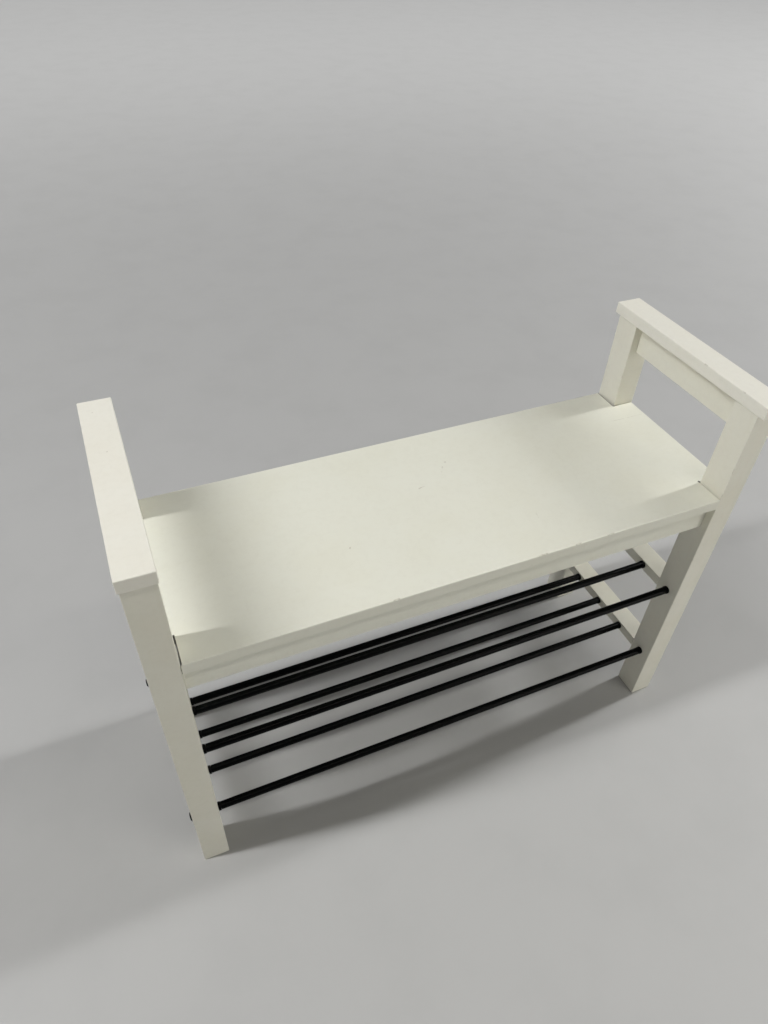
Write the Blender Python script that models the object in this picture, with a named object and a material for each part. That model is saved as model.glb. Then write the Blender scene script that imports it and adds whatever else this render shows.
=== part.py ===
"""Shoe storage bench: two painted side frames, a notched seat panel and two tiers of steel rods.

The bench stands on z = 0 with its width along X, its front towards -Y and its middle over the origin.
Each side frame is the same assembly, turned half round for the left side.
"""

from math import cos, pi, sin

import bmesh
import bpy
from mathutils import Matrix, Vector

# Overall size
BENCH_WIDTH = 0.850
BENCH_DEPTH = 0.316
SEAT_HEIGHT = 0.488
ARM_RISE = 0.162

# Side frames: legs, arm caps and arm rails
LEG_WIDTH = 0.038
LEG_DEPTH = 0.042
CAP_THICKNESS = 0.018
CAP_SIDE_OVERHANG = 0.0015
CAP_END_OVERHANG = 0.010
ARM_RAIL_THICKNESS = 0.016
ARM_RAIL_HEIGHT = 0.0465
ARM_RAIL_SETBACK = 0.0135

# Seat panel and what carries it
SEAT_THICKNESS = 0.018
SEAT_FRONT_LIP = 0.002
SEAT_END_SETBACK = 0.003
SEAT_NOTCH_CLEARANCE = 0.001
SEAT_RAIL_THICKNESS = 0.018
SEAT_RAIL_HEIGHT = 0.046
APRON_THICKNESS = 0.018
APRON_HEIGHT = 0.046

# Shelf rails and rods
SHELF_RAIL_WIDTH = 0.034
SHELF_RAIL_HEIGHT = 0.0185
UPPER_SHELF_TOP = 0.279
LOWER_SHELF_TOP = 0.115
ROD_DIAMETER = 0.012
ROD_WALL = 0.001
ROD_PITCH = 0.065
ROD_DROP = 0.0075

# End plugs of the rods
COLLAR_DIAMETER = 0.0132
COLLAR_LENGTH = 0.004
COLLAR_CHAMFER = 0.0005
PLUG_DEPTH = 0.018
SPIGOT_DIAMETER = 0.008
SPIGOT_LENGTH = 0.012

# Frame joints
TENON_SHOULDER = 0.004
MORTISE_WALL = 0.0027
PEG_SHOULDER = 0.010
PEG_HEIGHT = 0.010

# Bolts and barrel nuts
BOLT_DIAMETER = 0.006
APRON_BOLT_HEAD_DIAMETER = 0.0095
APRON_BOLT_HEAD_HEIGHT = 0.0026
ROD_BOLT_HEAD_DIAMETER = 0.0135
ROD_BOLT_HEAD_HEIGHT = 0.0034
BOLT_HEAD_RIM = 0.0008
BOLT_HEAD_FLAT = 0.006
BOLT_TIP = 0.004
SOCKET_WIDTH = 0.004
SOCKET_DEPTH = 0.0022
NUT_DIAMETER = 0.010
NUT_LENGTH = 0.014
NUT_INSET = 0.030

# Edges and fits
LEG_EDGE = 0.0015
CAP_EDGE = 0.002
SEAT_EDGE = 0.0025
RAIL_EDGE = 0.0015
EDGE_STEPS = 2
ROUND_STEPS = 16
SEATING_GAP = 0.0003
FIT_CLEARANCE = 0.0003
CUT_OVERRUN = 0.002

# Places that follow from the sizes above
BENCH_HEIGHT = SEAT_HEIGHT + ARM_RISE
LEG_OUTER = BENCH_WIDTH / 2 - CAP_SIDE_OVERHANG
LEG_MIDDLE = LEG_OUTER - LEG_WIDTH / 2
LEG_INNER = LEG_OUTER - LEG_WIDTH
LEG_FACE = BENCH_DEPTH / 2 - CAP_END_OVERHANG
LEG_AXIS = LEG_FACE - LEG_DEPTH / 2
LEG_BACK = LEG_FACE - LEG_DEPTH
LEG_TOP = BENCH_HEIGHT - CAP_THICKNESS - SEATING_GAP
RAIL_LENGTH = 2 * (LEG_BACK - SEATING_GAP)
MORTISE_DEPTH = LEG_DEPTH / 2 - SPIGOT_DIAMETER / 2 - FIT_CLEARANCE - MORTISE_WALL
SEAT_UNDERSIDE = SEAT_HEIGHT - SEAT_THICKNESS
APRON_MIDDLE = SEAT_UNDERSIDE - SEATING_GAP - APRON_HEIGHT / 2
SEAT_RAIL_MIDDLE = SEAT_UNDERSIDE - SEATING_GAP - SEAT_RAIL_HEIGHT / 2
ARM_RAIL_MIDDLE = LEG_TOP - ARM_RAIL_HEIGHT / 2
BOLT_HOLE = BOLT_DIAMETER + 2 * FIT_CLEARANCE
SPIGOT_HOLE = SPIGOT_DIAMETER + 2 * FIT_CLEARANCE
NUT_HOLE = NUT_DIAMETER + 2 * FIT_CLEARANCE
SHELF_TOPS = {"upper": UPPER_SHELF_TOP, "lower": LOWER_SHELF_TOP}
ROD_PLACES = (-LEG_AXIS, -ROD_PITCH, 0.0, ROD_PITCH, LEG_AXIS)

# Finishes: colour, roughness and metallic value
CREAM_PAINT = ((0.76, 0.75, 0.67), 0.45, 0.0)
SEAT_PAINT = ((0.78, 0.76, 0.68), 0.40, 0.0)
BLACK_ENAMEL = ((0.010, 0.011, 0.013), 0.42, 0.0)
BLACK_PLASTIC = ((0.014, 0.013, 0.012), 0.50, 0.0)
BLACKED_STEEL = ((0.030, 0.030, 0.032), 0.45, 0.8)
ZINC = ((0.55, 0.55, 0.53), 0.35, 1.0)


def material(name, finish):
    """A Principled BSDF material of one finish, made once and then shared."""
    if name in bpy.data.materials:
        return bpy.data.materials[name]
    colour, roughness, metallic = finish
    made = bpy.data.materials.new(name)
    made.use_nodes = True
    shader = made.node_tree.nodes["Principled BSDF"]
    shader.inputs["Base Color"].default_value = (*colour, 1.0)
    shader.inputs["Roughness"].default_value = roughness
    shader.inputs["Metallic"].default_value = metallic
    return made


def empty(name, turn=0.0):
    """An empty at the bench's origin, turned about Z, that carries the pieces of one assembly."""
    carrier = bpy.data.objects.new(name, None)
    carrier.rotation_euler.z = turn
    bpy.context.scene.collection.objects.link(carrier)
    return carrier


def piece(name, shape, parent, place, coat, finish, turn=0.0, round_piece=False):
    """A named object made from a bmesh, set at its place in its assembly."""
    mesh = bpy.data.meshes.new(name)
    shape.to_mesh(mesh)
    shape.free()
    if round_piece:
        mesh.shade_smooth()
        mesh.set_sharp_from_angle(angle=pi / 5)
    mesh.materials.append(material(coat, finish))
    made = bpy.data.objects.new(name, mesh)
    made.parent = parent
    made.location = place
    made.rotation_euler.z = turn
    bpy.context.scene.collection.objects.link(made)
    return made


def combine(target, shape, operation, word):
    """Joins a helper solid to a piece, or cuts it out, with a Boolean modifier."""
    mesh = bpy.data.meshes.new(f"{target.name}_{word}")
    shape.to_mesh(mesh)
    shape.free()
    helper = bpy.data.objects.new(mesh.name, mesh)
    helper.parent = target
    helper.hide_render = True
    helper.display_type = "WIRE"
    bpy.context.scene.collection.objects.link(helper)
    boolean = target.modifiers.new(word, "BOOLEAN")
    boolean.operation = operation
    boolean.solver = "EXACT"
    boolean.object = helper


def add_box(shape, centre, size):
    """Adds a sharp box to a bmesh."""
    bmesh.ops.create_cube(shape, size=1.0, matrix=Matrix.Translation(centre) @ Matrix.Diagonal((*size, 1.0)))


def add_cylinder(shape, start, end, diameter, steps=ROUND_STEPS):
    """Adds a capped cylinder between two points to a bmesh."""
    axis = Vector(end) - Vector(start)
    turn = axis.to_track_quat("Z", "Y").to_matrix().to_4x4()
    bmesh.ops.create_cone(
        shape,
        cap_ends=True,
        segments=steps,
        radius1=diameter / 2,
        radius2=diameter / 2,
        depth=axis.length,
        matrix=Matrix.Translation((Vector(start) + Vector(end)) / 2) @ turn,
    )


def eased_block(size, edge, along="XYZ"):
    """A box about its origin whose edges along the named axes are rounded."""
    shape = bmesh.new()
    add_box(shape, (0.0, 0.0, 0.0), size)
    chosen = []
    for line in shape.edges:
        run = line.verts[1].co - line.verts[0].co
        axis = max(range(3), key=lambda i: abs(run[i]))
        if "XYZ"[axis] in along:
            chosen.append(line)
    bmesh.ops.bevel(
        shape, geom=chosen, offset=edge, segments=EDGE_STEPS, profile=0.5, affect="EDGES", clamp_overlap=True
    )
    return shape


def turned(profile, closed=False):
    """A solid turned about X from a profile of (along, radius) points, from the inner end outwards."""
    shape = bmesh.new()
    points = [shape.verts.new((along, 0.0, radius)) for along, radius in profile]
    pairs = list(zip(points, points[1:]))
    if closed:
        pairs.append((points[-1], points[0]))
    lines = [shape.edges.new(pair) for pair in pairs]
    bmesh.ops.spin(
        shape, geom=points + lines, cent=(0, 0, 0), axis=(1, 0, 0), angle=2 * pi, steps=ROUND_STEPS, use_merge=True
    )
    bmesh.ops.remove_doubles(shape, verts=shape.verts, dist=1e-7)
    bmesh.ops.recalc_face_normals(shape, faces=shape.faces)
    return shape


def tenon_size(width, height):
    """The section of a stub tenon: the rail's own, set in by the shoulder all round."""
    return width - 2 * TENON_SHOULDER, height - 2 * TENON_SHOULDER


def rod_height(tier):
    return SHELF_TOPS[tier] - ROD_DROP


def frame_rails():
    """Each rail of a side frame: name, distance of its middle from the bench's, height, width and thickness."""
    arm = LEG_INNER + ARM_RAIL_SETBACK + ARM_RAIL_THICKNESS / 2
    shelf = LEG_INNER + SHELF_RAIL_WIDTH / 2
    rails = [
        ("arm_rail", arm, ARM_RAIL_MIDDLE, ARM_RAIL_THICKNESS, ARM_RAIL_HEIGHT),
        ("seat_rail", LEG_MIDDLE, SEAT_RAIL_MIDDLE, SEAT_RAIL_THICKNESS, SEAT_RAIL_HEIGHT),
    ]
    for tier, top in SHELF_TOPS.items():
        middle = top - SHELF_RAIL_HEIGHT / 2
        rails.append((f"{tier}_shelf_rail", shelf, middle, SHELF_RAIL_WIDTH, SHELF_RAIL_HEIGHT))
    return rails


def leg(name, parent, end):
    """A leg with a peg on top, a mortise for each rail and the holes of the apron bolt and the rods.

    end is the sign of the leg's place along Y, so its rails enter it on the opposite side.
    """
    shape = eased_block((LEG_WIDTH, LEG_DEPTH, LEG_TOP), LEG_EDGE)
    made = piece(name, shape, parent, (LEG_MIDDLE, end * LEG_AXIS, LEG_TOP / 2), "leg_paint", CREAM_PAINT)
    base = made.location

    peg = bmesh.new()
    peg_size = (LEG_WIDTH - 2 * PEG_SHOULDER, LEG_DEPTH - 2 * PEG_SHOULDER, 2 * PEG_HEIGHT)
    add_box(peg, (0.0, 0.0, LEG_TOP / 2), peg_size)
    combine(made, peg, "UNION", "peg")

    cuts = bmesh.new()
    for _, across, height, width, thickness in frame_rails():
        tenon_width, tenon_height = tenon_size(width, thickness)
        depth = MORTISE_DEPTH + CUT_OVERRUN
        middle = -end * (LEG_DEPTH / 2 + CUT_OVERRUN - depth / 2)
        size = (tenon_width + 2 * FIT_CLEARANCE, depth, tenon_height + 2 * FIT_CLEARANCE)
        add_box(cuts, (across - base.x, middle, height - base.z), size)
    through = LEG_WIDTH / 2 + CUT_OVERRUN
    for height in (APRON_MIDDLE, rod_height("lower")):
        add_cylinder(cuts, (-through, 0.0, height - base.z), (through, 0.0, height - base.z), BOLT_HOLE)
    blind = SPIGOT_LENGTH + FIT_CLEARANCE - LEG_WIDTH / 2
    socket = rod_height("upper") - base.z
    add_cylinder(cuts, (-through, 0.0, socket), (blind, 0.0, socket), SPIGOT_HOLE)
    combine(made, cuts, "DIFFERENCE", "cuts")


def rail(name, parent, across, height, width, thickness):
    """A rail between the front and rear legs, with a stub tenon on each end."""
    shape = eased_block((width, RAIL_LENGTH, thickness), RAIL_EDGE, along="Y")
    made = piece(name, shape, parent, (across, 0.0, height), "rail_paint", CREAM_PAINT)
    tenons = bmesh.new()
    tenon_width, tenon_height = tenon_size(width, thickness)
    reach = LEG_BACK + MORTISE_DEPTH - FIT_CLEARANCE
    add_box(tenons, (0.0, 0.0, 0.0), (tenon_width, 2 * reach, tenon_height))
    combine(made, tenons, "UNION", "tenons")
    return made


def drill_shelf_rail(made):
    """Blind holes in a shelf rail's inner face for the spigots of its three rods."""
    cuts = bmesh.new()
    face = -SHELF_RAIL_WIDTH / 2
    height = SHELF_RAIL_HEIGHT / 2 - ROD_DROP
    for along in (-ROD_PITCH, 0.0, ROD_PITCH):
        mouth = (face - CUT_OVERRUN, along, height)
        bottom = (face + SPIGOT_LENGTH + FIT_CLEARANCE, along, height)
        add_cylinder(cuts, mouth, bottom, SPIGOT_HOLE)
    combine(made, cuts, "DIFFERENCE", "rod_holes")


def arm_cap(name, parent):
    """The flat bar on top of a side frame, with a blind mortise over each leg's peg."""
    size = (LEG_WIDTH + 2 * CAP_SIDE_OVERHANG, BENCH_DEPTH, CAP_THICKNESS)
    place = (LEG_MIDDLE, 0.0, BENCH_HEIGHT - CAP_THICKNESS / 2)
    made = piece(name, eased_block(size, CAP_EDGE), parent, place, "cap_paint", CREAM_PAINT)
    cuts = bmesh.new()
    depth = PEG_HEIGHT + CUT_OVERRUN
    low = -CAP_THICKNESS / 2 - CUT_OVERRUN
    peg_width = LEG_WIDTH - 2 * PEG_SHOULDER + 2 * FIT_CLEARANCE
    peg_depth = LEG_DEPTH - 2 * PEG_SHOULDER + 2 * FIT_CLEARANCE
    for end in (-1, 1):
        add_box(cuts, (0.0, end * LEG_AXIS, low + depth / 2), (peg_width, peg_depth, depth))
    combine(made, cuts, "DIFFERENCE", "peg_mortises")


def side_frame(side, turn):
    """One side frame. Its local +X points away from the bench, so the left one is turned half round."""
    parent = empty(f"{side}_side", turn)
    front = -1 if side == "right" else 1
    leg(f"{side}_front_leg", parent, front)
    leg(f"{side}_rear_leg", parent, -front)
    for word, across, height, width, thickness in frame_rails():
        made = rail(f"{side}_{word}", parent, across, height, width, thickness)
        if word.endswith("shelf_rail"):
            drill_shelf_rail(made)
    arm_cap(f"{side}_arm_cap", parent)


def seat_panel(parent):
    """The seat: an outline notched round the four legs, extruded and eased round its edges."""
    inner = LEG_INNER - SEAT_NOTCH_CLEARANCE
    outer = LEG_OUTER - SEAT_END_SETBACK
    notch = LEG_BACK - SEAT_NOTCH_CLEARANCE
    front = -LEG_FACE - SEAT_FRONT_LIP
    rear = LEG_FACE
    right_side = [(inner, front), (inner, -notch), (outer, -notch), (outer, notch), (inner, notch), (inner, rear)]
    left_side = [(-x, y) for x, y in reversed(right_side)]
    shape = bmesh.new()
    outline = [shape.verts.new((x, y, -SEAT_THICKNESS / 2)) for x, y in right_side + left_side]
    base = shape.faces.new(outline)
    grown = bmesh.ops.extrude_face_region(shape, geom=[base])
    top = [item for item in grown["geom"] if isinstance(item, bmesh.types.BMVert)]
    bmesh.ops.translate(shape, verts=top, vec=(0.0, 0.0, SEAT_THICKNESS))
    bmesh.ops.recalc_face_normals(shape, faces=shape.faces)
    rims = [line for line in shape.edges if abs(line.verts[0].co.z - line.verts[1].co.z) < SEAT_THICKNESS / 2]
    bmesh.ops.bevel(
        shape, geom=rims, offset=SEAT_EDGE, segments=EDGE_STEPS, profile=0.5, affect="EDGES", clamp_overlap=True
    )
    place = (0.0, 0.0, SEAT_HEIGHT - SEAT_THICKNESS / 2)
    piece("seat_panel", shape, parent, place, "seat_paint", SEAT_PAINT)


def apron(name, parent, end):
    """A board between two legs, with a hole along each end for its bolt and one across for the barrel nut."""
    half = LEG_INNER - SEATING_GAP
    shape = eased_block((2 * half, APRON_THICKNESS, APRON_HEIGHT), RAIL_EDGE, along="X")
    made = piece(name, shape, parent, (0.0, end * LEG_AXIS, APRON_MIDDLE), "apron_paint", CREAM_PAINT)
    bolt_holes = bmesh.new()
    nut_holes = bmesh.new()
    hidden_face = -end * APRON_THICKNESS / 2
    for side in (-1, 1):
        nut = side * (LEG_INNER - NUT_INSET)
        add_cylinder(
            bolt_holes,
            (side * (half + CUT_OVERRUN), 0.0, 0.0),
            (nut - side * (NUT_DIAMETER / 2 + BOLT_TIP + FIT_CLEARANCE), 0.0, 0.0),
            BOLT_HOLE,
        )
        mouth = hidden_face - end * CUT_OVERRUN
        bottom = end * (NUT_LENGTH / 2 + FIT_CLEARANCE)
        add_cylinder(nut_holes, (nut, mouth, 0.0), (nut, bottom, 0.0), NUT_HOLE)
    combine(made, bolt_holes, "DIFFERENCE", "bolt_holes")
    combine(made, nut_holes, "DIFFERENCE", "nut_holes")


def rod(name, parent, along, height):
    """A steel tube that ends against the collars of its two plugs."""
    half = LEG_INNER - COLLAR_LENGTH - 2 * SEATING_GAP
    outer = ROD_DIAMETER / 2
    bore = outer - ROD_WALL
    shape = turned([(-half, outer), (half, outer), (half, bore), (-half, bore)], closed=True)
    piece(name, shape, parent, (0.0, along, height), "rod_enamel", BLACK_ENAMEL, round_piece=True)


def end_plug(name, parent, side, along, height, bolted):
    """A rod's end plug: a body in the tube, a collar on the wood, and a spigot or, where bolted, a bore."""
    body = ROD_DIAMETER / 2 - ROD_WALL - FIT_CLEARANCE
    collar = COLLAR_DIAMETER / 2
    inner = -SEATING_GAP - COLLAR_LENGTH
    profile = [
        (inner - PLUG_DEPTH, body),
        (inner, body),
        (inner, collar - COLLAR_CHAMFER),
        (inner + COLLAR_CHAMFER, collar),
        (-SEATING_GAP - COLLAR_CHAMFER, collar),
        (-SEATING_GAP, collar - COLLAR_CHAMFER),
    ]
    if bolted:
        bore = BOLT_HOLE / 2
        profile = [(inner - PLUG_DEPTH, bore)] + profile + [(-SEATING_GAP, bore)]
    else:
        spigot = SPIGOT_DIAMETER / 2
        start = [(inner - PLUG_DEPTH, 0.0)]
        profile = start + profile + [(-SEATING_GAP, spigot), (SPIGOT_LENGTH, spigot), (SPIGOT_LENGTH, 0.0)]
    shape = turned(profile, closed=bolted)
    turn = 0.0 if side > 0 else pi
    place = (side * LEG_INNER, along, height)
    piece(name, shape, parent, place, "plug_plastic", BLACK_PLASTIC, turn, round_piece=True)


def bolt(name, parent, side, along, height, reach, head_diameter, head_height):
    """A furniture bolt with a domed socket head on the leg's outer face; reach is its length under the head."""
    shaft = BOLT_DIAMETER / 2
    rim = head_diameter / 2
    crown = BOLT_HEAD_FLAT / 2
    dome = []
    for angle in (0.0, pi / 4, pi / 2):
        along_dome = BOLT_HEAD_RIM + (head_height - BOLT_HEAD_RIM) * sin(angle)
        dome.append((along_dome, crown + (rim - crown) * cos(angle)))
    profile = [(-reach, 0.0), (-reach, shaft), (0.0, shaft), (0.0, rim)] + dome + [(head_height, 0.0)]
    turn = 0.0 if side > 0 else pi
    place = (side * (LEG_OUTER + SEATING_GAP), along, height)
    made = piece(name, turned(profile), parent, place, "bolt_steel", BLACKED_STEEL, turn, round_piece=True)
    socket = bmesh.new()
    mouth = (head_height + CUT_OVERRUN, 0.0, 0.0)
    bottom = (head_height - SOCKET_DEPTH, 0.0, 0.0)
    add_cylinder(socket, mouth, bottom, SOCKET_WIDTH / cos(pi / 6), steps=6)
    combine(made, socket, "DIFFERENCE", "hex_socket")


def barrel_nut(name, parent, side, along, height):
    """A round cross nut inside the apron, with its threaded hole along the bolt."""
    shape = bmesh.new()
    add_cylinder(shape, (0.0, -NUT_LENGTH / 2, 0.0), (0.0, NUT_LENGTH / 2, 0.0), NUT_DIAMETER)
    place = (side * (LEG_INNER - NUT_INSET), along, height)
    made = piece(name, shape, parent, place, "nut_zinc", ZINC, round_piece=True)
    thread = bmesh.new()
    half = NUT_DIAMETER / 2 + CUT_OVERRUN
    add_cylinder(thread, (-half, 0.0, 0.0), (half, 0.0, 0.0), BOLT_HOLE)
    combine(made, thread, "DIFFERENCE", "thread")


def shelf(tier, parent):
    """A tier of five rods with their plugs. Those in the legs' lower holes are bolted and tie the frames."""
    height = rod_height(tier)
    for number, along in enumerate(ROD_PLACES, start=1):
        name = f"{tier}_rod_{number}"
        rod(name, parent, along, height)
        bolted = tier == "lower" and abs(along) == LEG_AXIS
        for word, side in (("left", -1), ("right", 1)):
            end_plug(f"{name}_{word}_plug", parent, side, along, height, bolted)


def fasteners(parent):
    """The bolts through the legs into the aprons and into the lower front and rear rods, and the nuts."""
    under_head = LEG_WIDTH + SEATING_GAP
    apron_reach = under_head + NUT_INSET + NUT_DIAMETER / 2 + BOLT_TIP
    rod_reach = under_head + COLLAR_LENGTH + PLUG_DEPTH / 2
    apron_head = (APRON_BOLT_HEAD_DIAMETER, APRON_BOLT_HEAD_HEIGHT)
    rod_head = (ROD_BOLT_HEAD_DIAMETER, ROD_BOLT_HEAD_HEIGHT)
    for row, end in (("front", -1), ("rear", 1)):
        along = end * LEG_AXIS
        for word, side in (("left", -1), ("right", 1)):
            bolt(f"{word}_{row}_apron_bolt", parent, side, along, APRON_MIDDLE, apron_reach, *apron_head)
            bolt(f"{word}_{row}_rod_bolt", parent, side, along, rod_height("lower"), rod_reach, *rod_head)
            barrel_nut(f"{word}_{row}_barrel_nut", parent, side, along, APRON_MIDDLE)


for item in list(bpy.data.objects):
    bpy.data.objects.remove(item, do_unlink=True)

bench = empty("bench")
for side_name, half_turn in (("right", 0.0), ("left", pi)):
    side_frame(side_name, half_turn)
seat_panel(bench)
apron("front_apron", bench, -1)
apron("rear_apron", bench, 1)
for tier_name in SHELF_TOPS:
    shelf(tier_name, bench)
fasteners(bench)
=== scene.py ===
from math import cos, pi, radians, sin

import bmesh
import bpy
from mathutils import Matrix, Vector


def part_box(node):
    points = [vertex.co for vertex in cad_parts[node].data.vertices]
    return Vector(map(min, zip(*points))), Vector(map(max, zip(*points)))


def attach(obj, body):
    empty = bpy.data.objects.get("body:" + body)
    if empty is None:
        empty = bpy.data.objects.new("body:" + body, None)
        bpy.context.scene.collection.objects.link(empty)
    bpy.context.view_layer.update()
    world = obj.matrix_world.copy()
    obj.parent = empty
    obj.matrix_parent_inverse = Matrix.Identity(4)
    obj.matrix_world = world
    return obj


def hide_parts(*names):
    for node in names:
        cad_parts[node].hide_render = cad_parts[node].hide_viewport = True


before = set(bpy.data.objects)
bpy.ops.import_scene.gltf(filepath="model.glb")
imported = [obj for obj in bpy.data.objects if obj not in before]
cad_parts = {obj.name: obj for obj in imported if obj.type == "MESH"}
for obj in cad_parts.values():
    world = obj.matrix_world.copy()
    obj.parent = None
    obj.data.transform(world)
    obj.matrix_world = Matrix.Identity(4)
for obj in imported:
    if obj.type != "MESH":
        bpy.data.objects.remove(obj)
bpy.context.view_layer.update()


# Legs. Each one is a single length of planed softwood from the floor to the arm, eased along its edges
# and sprayed with cream paint. A peg on top enters the arm cap, mortises take the stub tenons of the
# rails, and bores take the bolts and the spigot of the upper rod.
leg_ease = 0.0012
ease_steps = 4
peg_shoulder = 0.010
peg_height = 0.010
peg_chamfer = 0.001
tenon_shoulder = 0.004
fit_clearance = 0.0003
run_out = 0.002
bolt_bore = 0.0066
spigot_bore = 0.0086
bore_sides = 32
square_on = 0.99
same_place = 1e-6
crest_drop = 0.28

cream = (0.799, 0.784, 0.686, 1.0)
yellowed_cream = (0.770, 0.745, 0.626, 1.0)
bare_primer = (0.470, 0.430, 0.350, 1.0)
# Near-black painted shade for the gaps round the legs.
seam_shade = (0.055, 0.049, 0.040, 1.0)
across_grain = 260.0
along_grain = 9.0
cloud_scale = 11.0
cloud_height = 1.6e-4
cloud_yellowing = 0.55
fibre_height = 2.2e-5
fibre_yellowing = 0.30
stipple_scale = 1100.0
stipple_height = 5e-6
chip_scale = 120.0
pore_dirt = 0.045
rubbed_through = 0.55
rubbed_depth = 6e-5
rubbed_roughness = 0.2
paint_sheen = 0.45


def select_only(piece):
    bpy.ops.object.select_all(action="DESELECT")
    piece.select_set(True)
    bpy.context.view_layer.objects.active = piece


def work_on(piece):
    """Makes a piece the only selected object and opens it in edit mode."""
    select_only(piece)
    bpy.ops.object.mode_set(mode="EDIT")


def leave():
    bpy.ops.object.mode_set(mode="OBJECT")


def settle(made, name):
    """Puts the place, turn and size of a new object into its mesh, and names it."""
    bpy.ops.object.transform_apply(location=True, rotation=True, scale=True)
    made.name = name
    return made


def block(name, low, high):
    """A square block between two corners."""
    low, high = Vector(low), Vector(high)
    bpy.ops.object.select_all(action="DESELECT")
    bpy.ops.mesh.primitive_cube_add(size=1.0, location=(low + high) / 2, scale=high - low)
    return settle(bpy.context.object, name)


def round_bar(name, start, end, diameter, sides=48):
    """A round bar between two points."""
    start, end = Vector(start), Vector(end)
    run, middle = end - start, (start + end) / 2
    turn = run.to_track_quat("Z", "Y").to_euler()
    bpy.ops.object.select_all(action="DESELECT")
    bpy.ops.mesh.primitive_cylinder_add(
        vertices=sides, radius=diameter / 2, depth=run.length, location=middle, rotation=turn
    )
    return settle(bpy.context.object, name)


def bar_along_x(name, start, end, box, diameter, sides=48):
    """A round bar along X from one place to another, on the middle line of a box."""
    low, high = box
    y, z = (low.y + high.y) / 2, (low.z + high.z) / 2
    return round_bar(name, (start, y, z), (end, y, z), diameter, sides)


def pick(piece, kind, wanted):
    """In edit mode, selects the faces or edges whose middle and direction pass a test."""
    bpy.ops.mesh.select_mode(type=kind)
    bpy.ops.mesh.select_all(action="DESELECT")
    shape = bmesh.from_edit_mesh(piece.data)
    if kind == "FACE":
        for face in shape.faces:
            face.select_set(wanted(face.calc_center_median(), face.normal))
    else:
        for edge in shape.edges:
            start, end = edge.verts[0].co, edge.verts[1].co
            edge.select_set(wanted((start + end) / 2, (end - start).normalized()))
    bmesh.update_edit_mesh(piece.data)


def raise_face(shift):
    bpy.ops.mesh.extrude_region_move(TRANSFORM_OT_translate={"value": shift, "orient_type": "GLOBAL"})


def bevel(size, steps):
    bpy.ops.mesh.bevel(offset=size, segments=steps, affect="EDGES")


def cut(piece, cutters):
    """Cuts helper solids out of a piece and removes them."""
    bpy.context.view_layer.objects.active = piece
    for cutter in cutters:
        boolean = piece.modifiers.new("joinery", "BOOLEAN")
        boolean.operation = "DIFFERENCE"
        boolean.solver = "EXACT"
        boolean.object = cutter
        bpy.ops.object.modifier_apply(modifier=boolean.name)
        bpy.data.objects.remove(cutter, do_unlink=True)


def spigot_hole(plug):
    """The cutter of the blind bore in the wood for the spigot of a plug on the right."""
    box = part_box(plug)
    mouth, bottom = leg_low.x - run_out, box[1].x + fit_clearance
    return bar_along_x("spigot_bore", mouth, bottom, box, spigot_bore, bore_sides)


def mark_edges(piece, flats):
    """Gives each corner a number for the paint to wear by: 0 on the flats, 1 on the crest of an eased edge.

    flats names the ways that the flats face: "x y z" for a block eased all round, "x z" for a bar along Y.
    """
    crest = piece.data.attributes.new("edge_crest", "FLOAT", "POINT")
    for corner, mark in zip(piece.data.vertices, crest.data):
        shares = [sum(getattr(corner.normal, axis) ** 2 for axis in way) for way in flats.split()]
        steepest = (max(shares) / max(sum(shares), same_place)) ** 0.5
        mark.value = min(1.0, (1.0 - steepest) / crest_drop)


def ease_all_round(piece, ease):
    """Rounds all the edges of a block."""
    work_on(piece)
    bpy.ops.mesh.select_all(action="SELECT")
    bevel(ease, ease_steps)
    leave()
    mark_edges(piece, "x y z")


def copy_of(piece, name, shift=(0.0, 0.0, 0.0), flip=(1, 1, 1)):
    """A copy with its own mesh, moved or mirrored, its faces turned outwards again."""
    select_only(piece)
    bpy.ops.object.duplicate()
    made = bpy.context.object
    made.location = shift
    made.scale = flip
    settle(made, name)
    work_on(made)
    bpy.ops.mesh.select_all(action="SELECT")
    bpy.ops.mesh.remove_doubles(threshold=same_place)
    bpy.ops.mesh.normals_make_consistent(inside=False)
    leave()
    return made


def four_corners(piece, stem):
    """A piece of the right front corner and its mirror images at the other corners, by corner."""
    return {
        "right_front": piece,
        "right_rear": copy_of(piece, stem + "_right_rear", flip=(1, -1, 1)),
        "left_front": copy_of(piece, stem + "_left_front", flip=(-1, 1, 1)),
        "left_rear": copy_of(piece, stem + "_left_rear", flip=(-1, -1, 1)),
    }


def soften(piece, angle=35):
    """Shades the eased edges round and keeps the flats flat."""
    select_only(piece)
    bpy.ops.object.shade_smooth_by_angle(angle=radians(angle))
    weighting = piece.modifiers.new("flat faces", "WEIGHTED_NORMAL")
    weighting.keep_sharp = True
    bpy.ops.object.modifier_apply(modifier=weighting.name)


def stand_for(piece, node, finish):
    """Gives a finished piece its material and lets it stand for its CAD node."""
    piece.data.materials.clear()
    piece.data.materials.append(finish)
    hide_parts(node)
    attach(piece, "root")


def add_node(tree, kind, inputs=None, **settings):
    """A shader node with its settings; each input takes a plain value or another node's socket."""
    made = tree.nodes.new("ShaderNode" + kind)
    for setting, value in settings.items():
        setattr(made, setting, value)
    for socket, value in (inputs or {}).items():
        if isinstance(value, bpy.types.NodeSocket):
            tree.links.new(value, made.inputs[socket])
        else:
            made.inputs[socket].default_value = value
    return made


def calc(tree, operation, first, second=0.0, clamp=False):
    return add_node(tree, "Math", {0: first, 1: second}, operation=operation, use_clamp=clamp).outputs[0]


def fade(tree, value, start, end, low=0.0, high=1.0):
    """A value that goes smoothly from low to high while another goes from start to end."""
    limits = {"Value": value, "From Min": start, "From Max": end, "To Min": low, "To Max": high}
    return add_node(tree, "MapRange", limits, interpolation_type="SMOOTHSTEP").outputs["Result"]


def tint(tree, share, under, over):
    """One colour laid over another by a share."""
    return add_node(tree, "Mix", {0: share, 6: under, 7: over}, data_type="RGBA").outputs[2]


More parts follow.
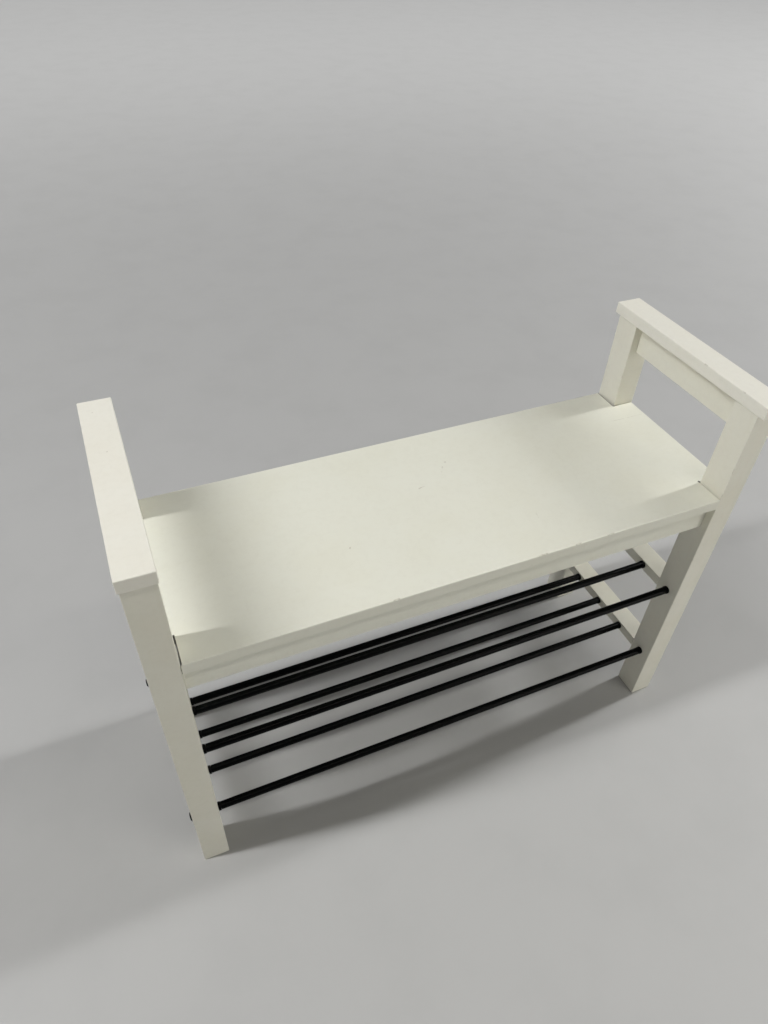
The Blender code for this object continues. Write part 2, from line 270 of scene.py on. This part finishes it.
def speckle(tree, place, scale, detail=2.0, roughness=0.5):
    """An even noise with features about 1 / scale metres across."""
    settings = {"Vector": place, "Scale": scale, "Detail": detail, "Roughness": roughness}
    return add_node(tree, "TexNoise", settings).outputs["Fac"]


def line_distance(tree, place, start, end):
    """How far a point of the surface lies from a straight line between two places."""
    start, run = Vector(start), Vector(end) - Vector(start)
    offset = add_node(tree, "VectorMath", {0: place, 1: start}, operation="SUBTRACT").outputs[0]
    along = add_node(tree, "VectorMath", {0: offset, 1: run}, operation="DOT_PRODUCT").outputs["Value"]
    share = calc(tree, "DIVIDE", along, run.length_squared, clamp=True)
    nearest = add_node(tree, "VectorMath", {0: run, "Scale": share}, operation="SCALE").outputs[0]
    return add_node(tree, "VectorMath", {0: offset, 1: nearest}, operation="DISTANCE").outputs["Value"]


def new_finish(name):
    """A node material, its tree and its shader, and the place on the surface in metres."""
    finish = bpy.data.materials.new(name)
    finish.use_nodes = True
    tree = finish.node_tree
    place = add_node(tree, "TexCoord").outputs["Object"]
    return finish, tree, tree.nodes["Principled BSDF"], place


def dress(tree, shader, colour, roughness, height):
    """Links a colour, a roughness and a height in metres to a shader."""
    bump = add_node(tree, "Bump", {"Strength": 1.0, "Distance": 1.0, "Height": height})
    tree.links.new(colour, shader.inputs["Base Color"])
    tree.links.new(roughness, shader.inputs["Roughness"])
    tree.links.new(bump.outputs["Normal"], shader.inputs["Normal"])


def sprayed_paint(name, grain, fresh=cream, aged=yellowed_cream, scratches=(), shade_lines=()):
    """Cream paint over softwood. grain scales X, Y and Z so that fibres run long along the wood.

    Each scratch is (start, end, width, share of primer that shows, depth), and each shade line
    (start, end, width, share of painted shade): near-black painted shade laid into a gap between parts.
    """
    paint, tree, shader, place = new_finish(name)
    fibre_place = add_node(tree, "Mapping", {"Vector": place, "Scale": grain}).outputs["Vector"]
    cloud = speckle(tree, place, cloud_scale, 3.0, 0.55)
    fibre = speckle(tree, fibre_place, 1.0, 4.0, 0.6)
    stipple = speckle(tree, place, stipple_scale, 1.0)
    chips = speckle(tree, place, chip_scale, 3.0, 0.6)
    crest = add_node(tree, "Attribute", attribute_name="edge_crest").outputs["Fac"]
    rubbed = calc(tree, "MULTIPLY", fade(tree, crest, 0.15, 0.9), fade(tree, chips, 0.60, 0.68))

    colour = tint(tree, fade(tree, cloud, 0.35, 0.75, 0.0, cloud_yellowing), fresh, aged)
    colour = tint(tree, fade(tree, fibre, 0.50, 0.80, 0.0, fibre_yellowing), colour, aged)
    colour = tint(tree, fade(tree, chips, 0.42, 0.72, 0.0, pore_dirt), colour, bare_primer)
    colour = tint(tree, calc(tree, "MULTIPLY", rubbed, rubbed_through), colour, bare_primer)
    height = calc(tree, "MULTIPLY", stipple, stipple_height)
    height = calc(tree, "ADD", height, calc(tree, "MULTIPLY", fibre, fibre_height))
    height = calc(tree, "ADD", height, calc(tree, "MULTIPLY", cloud, cloud_height))
    height = calc(tree, "SUBTRACT", height, calc(tree, "MULTIPLY", rubbed, rubbed_depth))
    for start, end, width, shows, depth in scratches:
        line = fade(tree, line_distance(tree, place, start, end), width, width * 0.3)
        broken = calc(tree, "MULTIPLY", line, fade(tree, chips, 0.38, 0.5))
        colour = tint(tree, calc(tree, "MULTIPLY", broken, shows), colour, bare_primer)
        height = calc(tree, "SUBTRACT", height, calc(tree, "MULTIPLY", line, depth))
    # Painted shade: each shade line lays near-black colour into a gap between parts.
    for start, end, width, share in shade_lines:
        line = fade(tree, line_distance(tree, place, start, end), width, width * 0.7)
        colour = tint(tree, calc(tree, "MULTIPLY", line, share), colour, seam_shade)
    satin = fade(tree, cloud, 0.3, 0.7, 0.36, 0.46)
    roughness = calc(tree, "ADD", satin, calc(tree, "MULTIPLY", rubbed, rubbed_roughness))
    dress(tree, shader, colour, roughness, height)
    shader.inputs["Specular IOR Level"].default_value = paint_sheen
    return paint


leg_low, leg_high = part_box("right_front_leg")
leg = block("leg_right_front", leg_low, leg_high - Vector((0.0, 0.0, peg_height)))
ease_all_round(leg, leg_ease)
work_on(leg)
pick(leg, "FACE", lambda middle, facing: facing.z > square_on)
bpy.ops.mesh.inset(thickness=peg_shoulder - leg_ease)
raise_face((0.0, 0.0, peg_height))
bevel(peg_chamfer, 1)
leave()

joints = []
tenon_room = tenon_shoulder - fit_clearance
for rail_name in ("arm_rail", "seat_rail", "upper_shelf_rail", "lower_shelf_rail"):
    low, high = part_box("right_" + rail_name)
    first = (low.x + tenon_room, low.y - fit_clearance, low.z + tenon_room)
    second = (high.x - tenon_room, leg_high.y + run_out, high.z - tenon_room)
    joints.append(block("mortise", first, second))
for bolt_name in ("apron_bolt", "rod_bolt"):
    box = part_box("right_front_" + bolt_name)
    start, end = leg_low.x - run_out, leg_high.x + run_out
    joints.append(bar_along_x("bolt_bore", start, end, box, bolt_bore, bore_sides))
joints.append(spigot_hole("upper_rod_1_right_plug"))
cut(leg, joints)

leg_paint = sprayed_paint("cream_paint_on_legs", (across_grain, across_grain, along_grain))
for corner, piece in four_corners(leg, "leg").items():
    soften(piece)
    stand_for(piece, corner + "_leg", leg_paint)


# Rails of the side frames. Under each arm, under each end of the seat and under each tier of rods, a bar
# of the same painted softwood joins the front leg to the rear one, with a stub tenon glued in each leg.
# The shelf rails also have three blind bores in their inner side for the rods' spigots.
rail_ease = 0.0012
tenon_chamfer = 0.001
seating_gap = 0.0003
hair = 1e-5
rail_paint = sprayed_paint("cream_paint_on_rails", (across_grain, along_grain, across_grain))


def tenoned_rail(name, node):
    """A rail eased along its length, with a tenon on each end."""
    low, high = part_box(node)
    shoulder = -leg_high.y - seating_gap
    rail = block(name, (low.x, -shoulder, low.z), (high.x, shoulder, high.z))
    middle_x, half_x = (low.x + high.x) / 2, (high.x - low.x) / 2

    def long_edge(middle, along):
        return abs(along.y) > square_on and abs(middle.x - middle_x) > half_x - hair

    work_on(rail)
    for end in (-1, 1):
        pick(rail, "FACE", lambda middle, facing: facing.y * end > square_on)
        bpy.ops.mesh.inset(thickness=tenon_shoulder)
        raise_face((0.0, end * (high.y - shoulder), 0.0))
        bevel(tenon_chamfer, 1)
    pick(rail, "EDGE", long_edge)
    bevel(rail_ease, ease_steps)
    leave()
    mark_edges(rail, "x z")
    return rail


tier_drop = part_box("right_lower_shelf_rail")[0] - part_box("right_upper_shelf_rail")[0]
upper_rail = tenoned_rail("shelf_rail_right_upper", "right_upper_shelf_rail")
cut(upper_rail, [spigot_hole(f"upper_rod_{number}_right_plug") for number in (2, 3, 4)])
right_rails = {
    "arm_rail": tenoned_rail("arm_rail_right", "right_arm_rail"),
    "seat_rail": tenoned_rail("seat_rail_right", "right_seat_rail"),
    "upper_shelf_rail": upper_rail,
    "lower_shelf_rail": copy_of(upper_rail, "shelf_rail_right_lower", shift=tier_drop),
}
for rail_name, piece in right_rails.items():
    other = copy_of(piece, piece.name.replace("right", "left"), flip=(-1, 1, 1))
    for side, made in (("right", piece), ("left", other)):
        soften(made)
        stand_for(made, f"{side}_{rail_name}", rail_paint)


# Arm caps. Each is a flat bar laid over a side frame, a little wider than the legs and longer than the
# frame, rounded on all edges and painted as the rest, though in a lighter, less yellow cream that is
# painted light for their brightly lit tops. Two blind mortises below take the legs' pegs.
cap_ease = 0.0014
# Painted light: the caps take the legs' paint made lighter and less yellow, for their brightly lit tops.
cap_cream_painted_light = (0.852, 0.835, 0.752, 1.0)
cap_yellowed_painted_light = (0.826, 0.797, 0.693, 1.0)
cap_grain = (across_grain, along_grain, across_grain)
cap_low, cap_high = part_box("right_arm_cap")


def dent(place, reach):
    """An egg-shaped cutter for a knock in an edge: its middle, and how far it reaches along X, Y and Z."""
    bpy.ops.object.select_all(action="DESELECT")
    bpy.ops.mesh.primitive_uv_sphere_add(segments=20, ring_count=12, radius=1.0, location=place, scale=reach)
    return settle(bpy.context.object, "dent")


cap = block("arm_cap_right", cap_low, cap_high)
ease_all_round(cap, cap_ease)
peg_room = peg_shoulder - fit_clearance
mortises = []
for row in ("front", "rear"):
    low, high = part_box(f"right_{row}_leg")
    first = (low.x + peg_room, low.y + peg_room, cap_low.z - run_out)
    second = (high.x - peg_room, high.y - peg_room, high.z + fit_clearance)
    mortises.append(block("mortise", first, second))
cut(cap, mortises)
left_cap = copy_of(cap, "arm_cap_left", flip=(-1, 1, 1))
cut(cap, [
    dent((cap_low.x, -0.042, cap_high.z), (0.0013, 0.0030, 0.0013)),
    dent((cap_low.x, -0.114, cap_high.z), (0.0012, 0.0036, 0.0014)),
    dent((cap_high.x, 0.022, cap_high.z), (0.0012, 0.0028, 0.0012)),
])
cap_marks = (
    ((-0.4095, 0.1300, cap_high.z), (-0.4092, 0.1304, cap_high.z), 0.0014, 0.55, 6e-5),
    ((-0.4030, 0.0460, cap_high.z), (-0.4028, 0.0466, cap_high.z), 0.0012, 0.50, 6e-5),
    ((cap_low.x, -0.0440, cap_high.z), (cap_low.x, -0.0400, cap_high.z), 0.0018, 0.60, 0.0),
    ((cap_low.x, -0.1165, cap_high.z), (cap_low.x, -0.1115, cap_high.z), 0.0018, 0.60, 0.0),
)
cap_paint = sprayed_paint("cream_paint_on_caps", cap_grain, cap_cream_painted_light, cap_yellowed_painted_light, cap_marks)
for side, piece in (("left", left_cap), ("right", cap)):
    soften(piece)
    stand_for(piece, side + "_arm_cap", cap_paint)


# Rods. Each is a thin steel tube, cut square, deburred and coated with black enamel. Five of them make a
# tier, and they are held by the plugs in their ends.
rod_wall = 0.001
rod_deburr = 0.0002
crosswise = 0.01
black_enamel = (0.0012, 0.0016, 0.0016, 1.0)
grey_scuff = (0.008, 0.008, 0.008, 1.0)
enamel_sheen = 0.07
peel_height = 6e-6
scuff_scale = (40.0, 400.0, 400.0)


def enamel():
    """Black enamel with a fine orange peel and dull scuffs where shoes slide over it."""
    coat, tree, shader, place = new_finish("black_enamel_on_rods")
    peel = speckle(tree, place, 1500.0, 2.0)
    long_place = add_node(tree, "Mapping", {"Vector": place, "Scale": scuff_scale}).outputs["Vector"]
    scuffs = fade(tree, speckle(tree, long_place, 1.0, 3.0, 0.6), 0.62, 0.74)
    colour = tint(tree, calc(tree, "MULTIPLY", scuffs, 0.35), black_enamel, grey_scuff)
    roughness = calc(tree, "ADD", 0.23, calc(tree, "MULTIPLY", scuffs, 0.18))
    dress(tree, shader, colour, roughness, calc(tree, "MULTIPLY", peel, peel_height))
    shader.inputs["Specular IOR Level"].default_value = enamel_sheen
    return coat


rod_coat = enamel()
rod_low, rod_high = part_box("upper_rod_1")
rod_diameter = rod_high.z - rod_low.z
first_rod = bar_along_x("rod_upper_1", rod_low.x, rod_high.x, (rod_low, rod_high), rod_diameter)
work_on(first_rod)
pick(first_rod, "FACE", lambda middle, facing: abs(facing.x) > square_on)
bpy.ops.mesh.inset(thickness=rod_wall, use_individual=True)
bpy.ops.mesh.bridge_edge_loops()
bpy.ops.mesh.select_all(action="SELECT")
bpy.ops.mesh.normals_make_consistent(inside=False)
pick(first_rod, "EDGE", lambda middle, along: abs(along.x) < crosswise and abs(middle.x) > rod_high.x - hair)
bevel(rod_deburr, 2)
leave()
for tier in ("upper", "lower"):
    for number in range(1, 6):
        node = f"{tier}_rod_{number}"
        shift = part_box(node)[0] - rod_low
        piece = first_rod
        if shift.length > same_place:
            piece = copy_of(first_rod, f"rod_{tier}_{number}", shift=shift)
        soften(piece)
        stand_for(piece, node, rod_coat)


# End plugs. A black plastic plug is pressed into each end of a rod. Its collar rests on the wood, and its
# spigot enters a blind bore there. The lower front and rear rods have plugs that are bored through
# instead, because a bolt through the leg draws them tight.
collar_chamfer = 0.0005
plug_body = 0.0094
plug_end_chamfer = 0.0008
spigot_diameter = 0.008
black_plastic = (0.0018, 0.0019, 0.0019, 1.0)
plastic_sheen = 0.06
mould_height = 6e-6


def moulded_plastic():
    """Black plastic with the fine grain of its mould."""
    plastic, tree, shader, place = new_finish("black_plastic_plugs")
    mould_grain = speckle(tree, place, 2600.0, 2.0)
    dust = fade(tree, speckle(tree, place, 260.0, 2.0), 0.5, 0.8)
    colour = tint(tree, calc(tree, "MULTIPLY", dust, 0.3), black_plastic, grey_scuff)
    roughness = fade(tree, mould_grain, 0.3, 0.7, 0.42, 0.55)
    dress(tree, shader, colour, roughness, calc(tree, "MULTIPLY", mould_grain, mould_height))
    shader.inputs["Specular IOR Level"].default_value = plastic_sheen
    return plastic


def end_plug(name, node, bolted):
    """A plug drawn out along its rod's line: the collar, the body in the tube, and a spigot or a bore."""
    low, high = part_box(node)
    collar = high.z - low.z
    wood = leg_low.x - seating_gap
    tube = rod_high.x + seating_gap
    plug = bar_along_x(name, tube, wood, (low, high), collar)
    work_on(plug)
    pick(plug, "EDGE", lambda middle, along: abs(along.x) < crosswise)
    bevel(collar_chamfer, 3)
    pick(plug, "FACE", lambda middle, facing: facing.x < -square_on)
    bpy.ops.mesh.inset(thickness=(collar - plug_body) / 2 - collar_chamfer)
    raise_face((low.x - tube, 0.0, 0.0))
    bevel(plug_end_chamfer, 2)
    if not bolted:
        pick(plug, "FACE", lambda middle, facing: facing.x > square_on and middle.x > wood - hair)
        bpy.ops.mesh.inset(thickness=(collar - spigot_diameter) / 2 - collar_chamfer)
        raise_face((high.x - wood, 0.0, 0.0))
        bevel(plug_end_chamfer, 2)
    leave()
    if bolted:
        cut(plug, [bar_along_x("bolt_bore", low.x - run_out, wood + run_out, (low, high), bolt_bore)])
    return plug


plug_plastic = moulded_plastic()
spigot_node = "upper_rod_1_right_plug"
bolted_node = "lower_rod_1_right_plug"
spigot_plug = end_plug("plug_upper_1_right", spigot_node, False)
bolted_plug = end_plug("plug_lower_1_right", bolted_node, True)
for tier in ("upper", "lower"):
    for number in range(1, 6):
        first, first_node = spigot_plug, spigot_node
        if tier == "lower" and number in (1, 5):
            first, first_node = bolted_plug, bolted_node
        stem = f"plug_{tier}_{number}"
        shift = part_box(f"{tier}_rod_{number}_right_plug")[0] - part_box(first_node)[0]
        piece = first
        if shift.length > same_place:
            piece = copy_of(first, stem + "_right", shift=shift)
        other = copy_of(piece, stem + "_left", flip=(-1, 1, 1))
        for side, made in (("right", piece), ("left", other)):
            soften(made)
            stand_for(made, f"{tier}_rod_{number}_{side}_plug", plug_plastic)


# Aprons. A painted board under the seat's front edge and another under its rear edge keep the side frames
# apart. Each end has a bore along the board for the bolt and one from the hidden side for the barrel nut.
apron_ease = 0.0012
nut_bore = 0.0106
board_cream = (0.787, 0.786, 0.691, 1.0)
board_yellowed = (0.758, 0.750, 0.638, 1.0)
board_grain = (along_grain, across_grain, across_grain)
board_paint = sprayed_paint("cream_paint_on_boards", board_grain, board_cream, board_yellowed)
apron_low, apron_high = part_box("front_apron")
front_apron = block("apron_front", apron_low, apron_high)
work_on(front_apron)
pick(front_apron, "EDGE", lambda middle, along: abs(along.x) > square_on)
bevel(apron_ease, ease_steps)
leave()
mark_edges(front_apron, "y z")
bores = []
for side, sign in (("left", -1), ("right", 1)):
    low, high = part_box(f"{side}_front_apron_bolt")
    tip = (high.x + fit_clearance) if sign < 0 else (low.x - fit_clearance)
    mouth = sign * (apron_high.x + run_out)
    bores.append(bar_along_x("bolt_bore", mouth, tip, (low, high), bolt_bore, bore_sides))
    axis_z = (low.z + high.z) / 2
    low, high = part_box(f"{side}_front_barrel_nut")
    nut_x = (low.x + high.x) / 2
    mouth, bottom = (nut_x, apron_high.y + run_out, axis_z), (nut_x, low.y - fit_clearance, axis_z)
    bores.append(round_bar("nut_bore", mouth, bottom, nut_bore, bore_sides))
cut(front_apron, bores)
rear_apron = copy_of(front_apron, "apron_rear", flip=(1, -1, 1))
for row, piece in (("front", front_apron), ("rear", rear_apron)):
    soften(piece)
    stand_for(piece, row + "_apron", board_paint)


# Barrel nuts. A short zinc-plated cylinder lies across each apron end, with a cross hole for the bolt and
# a slot in the end that shows in the bore, to turn the hole into line.
nut_chamfer = 0.0006
slot_reach = Vector((0.006, 0.0012, 0.0006))
zinc = (0.560, 0.560, 0.540, 1.0)
dull_zinc = (0.330, 0.330, 0.325, 1.0)
bloom_height = 1.5e-5


def plated_zinc():
    """Bright zinc with cloudy passivation and turning marks."""
    plating, tree, shader, place = new_finish("zinc_barrel_nuts")
    bloom = speckle(tree, place, 420.0, 3.0, 0.6)
    colour = tint(tree, fade(tree, bloom, 0.35, 0.7), zinc, dull_zinc)
    roughness = fade(tree, bloom, 0.3, 0.7, 0.26, 0.44)
    dress(tree, shader, colour, roughness, calc(tree, "MULTIPLY", bloom, bloom_height))
    shader.inputs["Metallic"].default_value = 1.0
    return plating


nut_zinc = plated_zinc()
nut_low, nut_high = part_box("right_front_barrel_nut")
nut_middle = (nut_low + nut_high) / 2
start, end = (nut_middle.x, nut_low.y, nut_middle.z), (nut_middle.x, nut_high.y, nut_middle.z)
first_nut = round_bar("nut_right_front", start, end, nut_high.z - nut_low.z)
work_on(first_nut)
pick(first_nut, "EDGE", lambda middle, along: abs(along.y) < crosswise)
bevel(nut_chamfer, 2)
leave()
start, end = nut_low.x - run_out, nut_high.x + run_out
thread = bar_along_x("thread", start, end, (nut_low, nut_high), bolt_bore, bore_sides)
slot_place = Vector((nut_middle.x, nut_high.y, nut_middle.z))
cut(first_nut, [thread, block("slot", slot_place - slot_reach, slot_place + slot_reach)])
for corner, piece in four_corners(first_nut, "nut").items():
    soften(piece)
    stand_for(piece, corner + "_barrel_nut", nut_zinc)


# Bolts. A blackened button-head bolt goes through each leg into the apron's barrel nut, and another into
# the plug of the lower front or rear rod. Its domed head has a hexagon socket and lies on the leg's outer
# side.
head_rim = 0.0008
head_flat = 0.006
dome_steps = 6
shaft_diameter = 0.006
tip_chamfer = 0.0008
socket_width = 0.004
socket_depth = 0.0022
blacked_steel = (0.007, 0.007, 0.007, 1.0)
rubbed_steel = (0.036, 0.035, 0.034, 1.0)
steel_metal = 0.8
blotch_height = 8e-6


def blackened_steel():
    """Oiled black oxide, rubbed brighter in places."""
    steel, tree, shader, place = new_finish("blackened_steel_bolts")
    blotch = speckle(tree, place, 700.0, 3.0, 0.6)
    colour = tint(tree, fade(tree, blotch, 0.55, 0.75, 0.0, 0.5), blacked_steel, rubbed_steel)
    roughness = fade(tree, blotch, 0.3, 0.7, 0.34, 0.52)
    dress(tree, shader, colour, roughness, calc(tree, "MULTIPLY", blotch, blotch_height))
    shader.inputs["Metallic"].default_value = steel_metal
    return steel


def button_bolt(name, node):
    """A bolt raised from its rim disc: rings drawn in for the dome, then a shaft on the inner side."""
    low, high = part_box(node)
    axis = (0.0, (low.y + high.y) / 2, (low.z + high.z) / 2)
    head = high.z - low.z
    seat_x = leg_high.x + seating_gap
    bolt = bar_along_x(name, seat_x, seat_x + head_rim, (low, high), head)
    work_on(bolt)
    pick(bolt, "FACE", lambda middle, facing: facing.x > square_on)
    dome = high.x - seat_x - head_rim
    ring = head
    for step in range(1, dome_steps + 1):
        angle, before = pi / 2 * step / dome_steps, pi / 2 * (step - 1) / dome_steps
        raise_face((dome * (sin(angle) - sin(before)), 0.0, 0.0))
        wanted = head_flat + (head - head_flat) * cos(angle)
        bpy.ops.transform.resize(value=(1.0, wanted / ring, wanted / ring), center_override=axis)
        ring = wanted
    pick(bolt, "FACE", lambda middle, facing: facing.x < -square_on)
    bpy.ops.mesh.inset(thickness=(head - shaft_diameter) / 2)
    raise_face((low.x - seat_x, 0.0, 0.0))
    bevel(tip_chamfer, 1)
    leave()
    mouth, bottom = high.x + run_out, high.x - socket_depth
    cut(bolt, [bar_along_x("socket", mouth, bottom, (low, high), socket_width / cos(pi / 6), 6)])
    return bolt


bolt_steel = blackened_steel()
for kind in ("apron_bolt", "rod_bolt"):
    first_bolt = button_bolt(f"{kind}_right_front", f"right_front_{kind}")
    for corner, piece in four_corners(first_bolt, kind).items():
        soften(piece)
        stand_for(piece, f"{corner}_{kind}", bolt_steel)


# Seat. One painted panel, notched at its corners round the four legs and rounded along its rims, lies on
# the aprons and the seat rails. It has been sat on: small marks dot its top and its front rim is nicked.
# Near-black painted shade darkens the gaps round the legs, along the rims and down the notch walls.
seat_ease = 0.0018
seat_ease_steps = 5
notch_clearance = 0.001
seat_low, seat_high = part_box("seat_panel")
top = seat_high.z
notch_x, notch_y = leg_low.x - notch_clearance, leg_high.y + notch_clearance
seat = block("seat", seat_low, seat_high)
notch_inner = (notch_x, seat_low.y - run_out, seat_low.z - run_out)
notch_outer = (seat_high.x + run_out, notch_y, seat_high.z + run_out)
notches = four_corners(block("notch", notch_inner, notch_outer), "notch")
cut(seat, notches.values())
work_on(seat)
pick(seat, "EDGE", lambda middle, along: abs(along.z) < crosswise)
bevel(seat_ease, seat_ease_steps)
leave()
mark_edges(seat, "xy z")
front_knocks = ((-0.1230, 0.0034), (0.0820, 0.0042), (0.0905, 0.0022), (0.1420, 0.0036), (0.1940, 0.0044))
cut(seat, [dent((x, seat_low.y, top), (reach, 0.0015, 0.0013)) for x, reach in front_knocks])
seat_marks = [
    ((0.0530, 0.0712, top), (0.0520, 0.0698, top), 0.0019, 0.42, 5e-5),
    ((0.0437, 0.0618, top), (0.0423, 0.0596, top), 0.0018, 0.36, 5e-5),
    ((0.0376, 0.0524, top), (0.0368, 0.0512, top), 0.0015, 0.25, 4e-5),
    ((-0.0095, 0.0292, top), (-0.0060, 0.0302, top), 0.0015, 0.55, 5e-5),
    ((-0.0060, 0.0302, top), (-0.0005, 0.0308, top), 0.0011, 0.35, 4e-5),
    ((-0.1450, -0.0470, top), (-0.1444, -0.0460, top), 0.0016, 0.60, 8e-5),
    ((0.1205, -0.0764, top), (0.1189, -0.0867, top), 0.0010, 0.35, 4e-5),
    ((0.3491, 0.0691, top), (0.4148, 0.0686, top), 0.0008, 0.40, 5e-5),
]
for x, reach in front_knocks:
    seat_marks.append(((x - reach, seat_low.y, top), (x + reach, seat_low.y, top), 0.0022, 0.65, 0.0))
rim_z, high_rim_z = top - seat_ease, top - 0.0006
wall_z, wall_reach = (seat_low.z + top) / 2, 0.0085
# Painted shade: near-black lines on the rims where the seat meets the legs, a dark dot at a notch corner,
# and the notch walls darkened.
seat_shade_lines = [
    ((-notch_x, seat_low.y + 0.003, rim_z), (-notch_x, notch_y, rim_z), 0.0024, 0.92),
    ((notch_x, -notch_y, high_rim_z), (notch_x, seat_high.y - 0.003, high_rim_z), 0.0026, 0.85),
    ((notch_x - 0.0005, notch_y + 0.0005, top), (notch_x, notch_y, rim_z), 0.0022, 0.95),
]
for x in (-notch_x, notch_x):
    seat_shade_lines.append(((x, seat_low.y + wall_reach, wall_z), (x, notch_y, wall_z), wall_reach, 0.9))
    seat_shade_lines.append(((x, -notch_y, wall_z), (x, seat_high.y - wall_reach, wall_z), wall_reach, 0.9))
seat_paint = sprayed_paint(
    "cream_paint_on_seat", board_grain, board_cream, board_yellowed, seat_marks, seat_shade_lines
)
soften(seat)
stand_for(seat, "seat_panel", seat_paint)


# Studio. A plain pale grey floor with a faint mottle, a row of long lamps overhead along the bench and one
# in front of it, soft warmer lamps low in front and on the left, wide ones for the floor all round, a
# surround that is pale along the horizon, and the camera where the photograph was taken.
floor_radius = 12.0
floor_grey = (0.455, 0.455, 0.450, 1.0)
floor_shade = (0.440, 0.440, 0.435, 1.0)
floor_roughness = 0.6
bpy.ops.object.select_all(action="DESELECT")
bpy.ops.mesh.primitive_circle_add(vertices=128, radius=floor_radius, fill_type="NGON")
floor = bpy.context.object
floor.name = "floor"
floor_coat, tree, shader, place = new_finish("pale_floor")
mottle = speckle(tree, place, 6.0, 5.0, 0.6)
floor_colour = tint(tree, fade(tree, mottle, 0.4, 0.7), floor_grey, floor_shade)
tree.links.new(floor_colour, shader.inputs["Base Color"])
shader.inputs["Roughness"].default_value = floor_roughness
floor.data.materials.append(floor_coat)

white = (1.0, 1.0, 1.0)
warm_white = (1.0, 0.975, 0.90)
rosy_white = (1.0, 0.95, 0.925)
row_height = 3.7
row_width = 0.20
floor_lamp_height = 5.0
floor_lamp_spread = 80.0
floor_lamp_watts = 3.0  # for each square metre of lamp


def lamp(name, place, aim, size, power, shade=white, shape="RECTANGLE", spread=180.0):
    """A soft lamp of a length and a width that points at a place."""
    light = bpy.data.lights.new(name, "AREA")
    light.shape = shape
    light.size, light.size_y = size
    light.energy = power
    light.color = shade
    light.spread = radians(spread)
    made = bpy.data.objects.new(name, light)
    made.location = place
    made.rotation_euler = (Vector(aim) - Vector(place)).to_track_quat("-Z", "Y").to_euler()
    bpy.context.scene.collection.objects.link(made)
    return made


def row_lamp(name, x, y, length, power, **more):
    """A long lamp of an overhead row, along X, that points straight down."""
    return lamp(name, (x, y, row_height), (x, y, 0.0), (length, row_width), power, **more)


row_left = row_lamp("row_left", -2.95, 0.22, 3.1, 129.5, shape="ELLIPSE")
row_left.rotation_euler.z = radians(-5.0)
row_lamp("row_right", 3.25, 0.12, 2.4, 48.7)
row_lamp("row_far_right", 5.40, 0.17, 3.0, 181.0)
row_lamp("front_row", 0.90, -1.80, 3.2, 27.0, shade=warm_white)
lamp("front_low", (1.30, -1.90, 0.80), (0.42, -0.10, 0.15), (1.2, 0.8), 10.2, warm_white)
lamp("left_side", (-2.60, -0.30, 2.0), (-0.2, 0.0, 0.5), (1.6, 1.6), 5.2, rosy_white)
for name, (x, y), size in (
    ("floor_lamp_behind", (0.0, 8.0), (28.0, 10.0)),
    ("floor_lamp_in_front", (0.0, -10.0), (28.0, 10.0)),
    ("floor_lamp_left", (-9.5, -1.0), (9.0, 8.0)),
    ("floor_lamp_right", (9.5, -1.0), (9.0, 8.0)),
):
    watts = floor_lamp_watts * size[0] * size[1]
    lamp(name, (x, y, floor_lamp_height), (x, y, 0.0), size, watts, spread=floor_lamp_spread)

horizon_glow = 0.285
overhead_glow = 0.045
surround = bpy.data.worlds.new("white_surround")
surround.use_nodes = True
tree = surround.node_tree
way_up = add_node(tree, "SeparateXYZ", {0: add_node(tree, "TexCoord").outputs["Generated"]}).outputs["Z"]
glow = fade(tree, way_up, 0.05, 0.50, horizon_glow, overhead_glow)
tree.nodes["Background"].inputs["Color"].default_value = (*white, 1.0)
tree.links.new(glow, tree.nodes["Background"].inputs["Strength"])
bpy.context.scene.world = surround

camera = bpy.data.cameras.new("photo_camera")
camera.sensor_width = 36.0
camera.lens = 25.501
viewer = bpy.data.objects.new("photo_camera", camera)
viewer.location = (-0.38348, -0.66892, 1.16334)
viewer.rotation_euler = (radians(47.4977), radians(-1.7753), radians(-23.0065))
bpy.context.scene.collection.objects.link(viewer)
bpy.context.scene.camera = viewer
bpy.context.scene.view_settings.view_transform = "Standard"
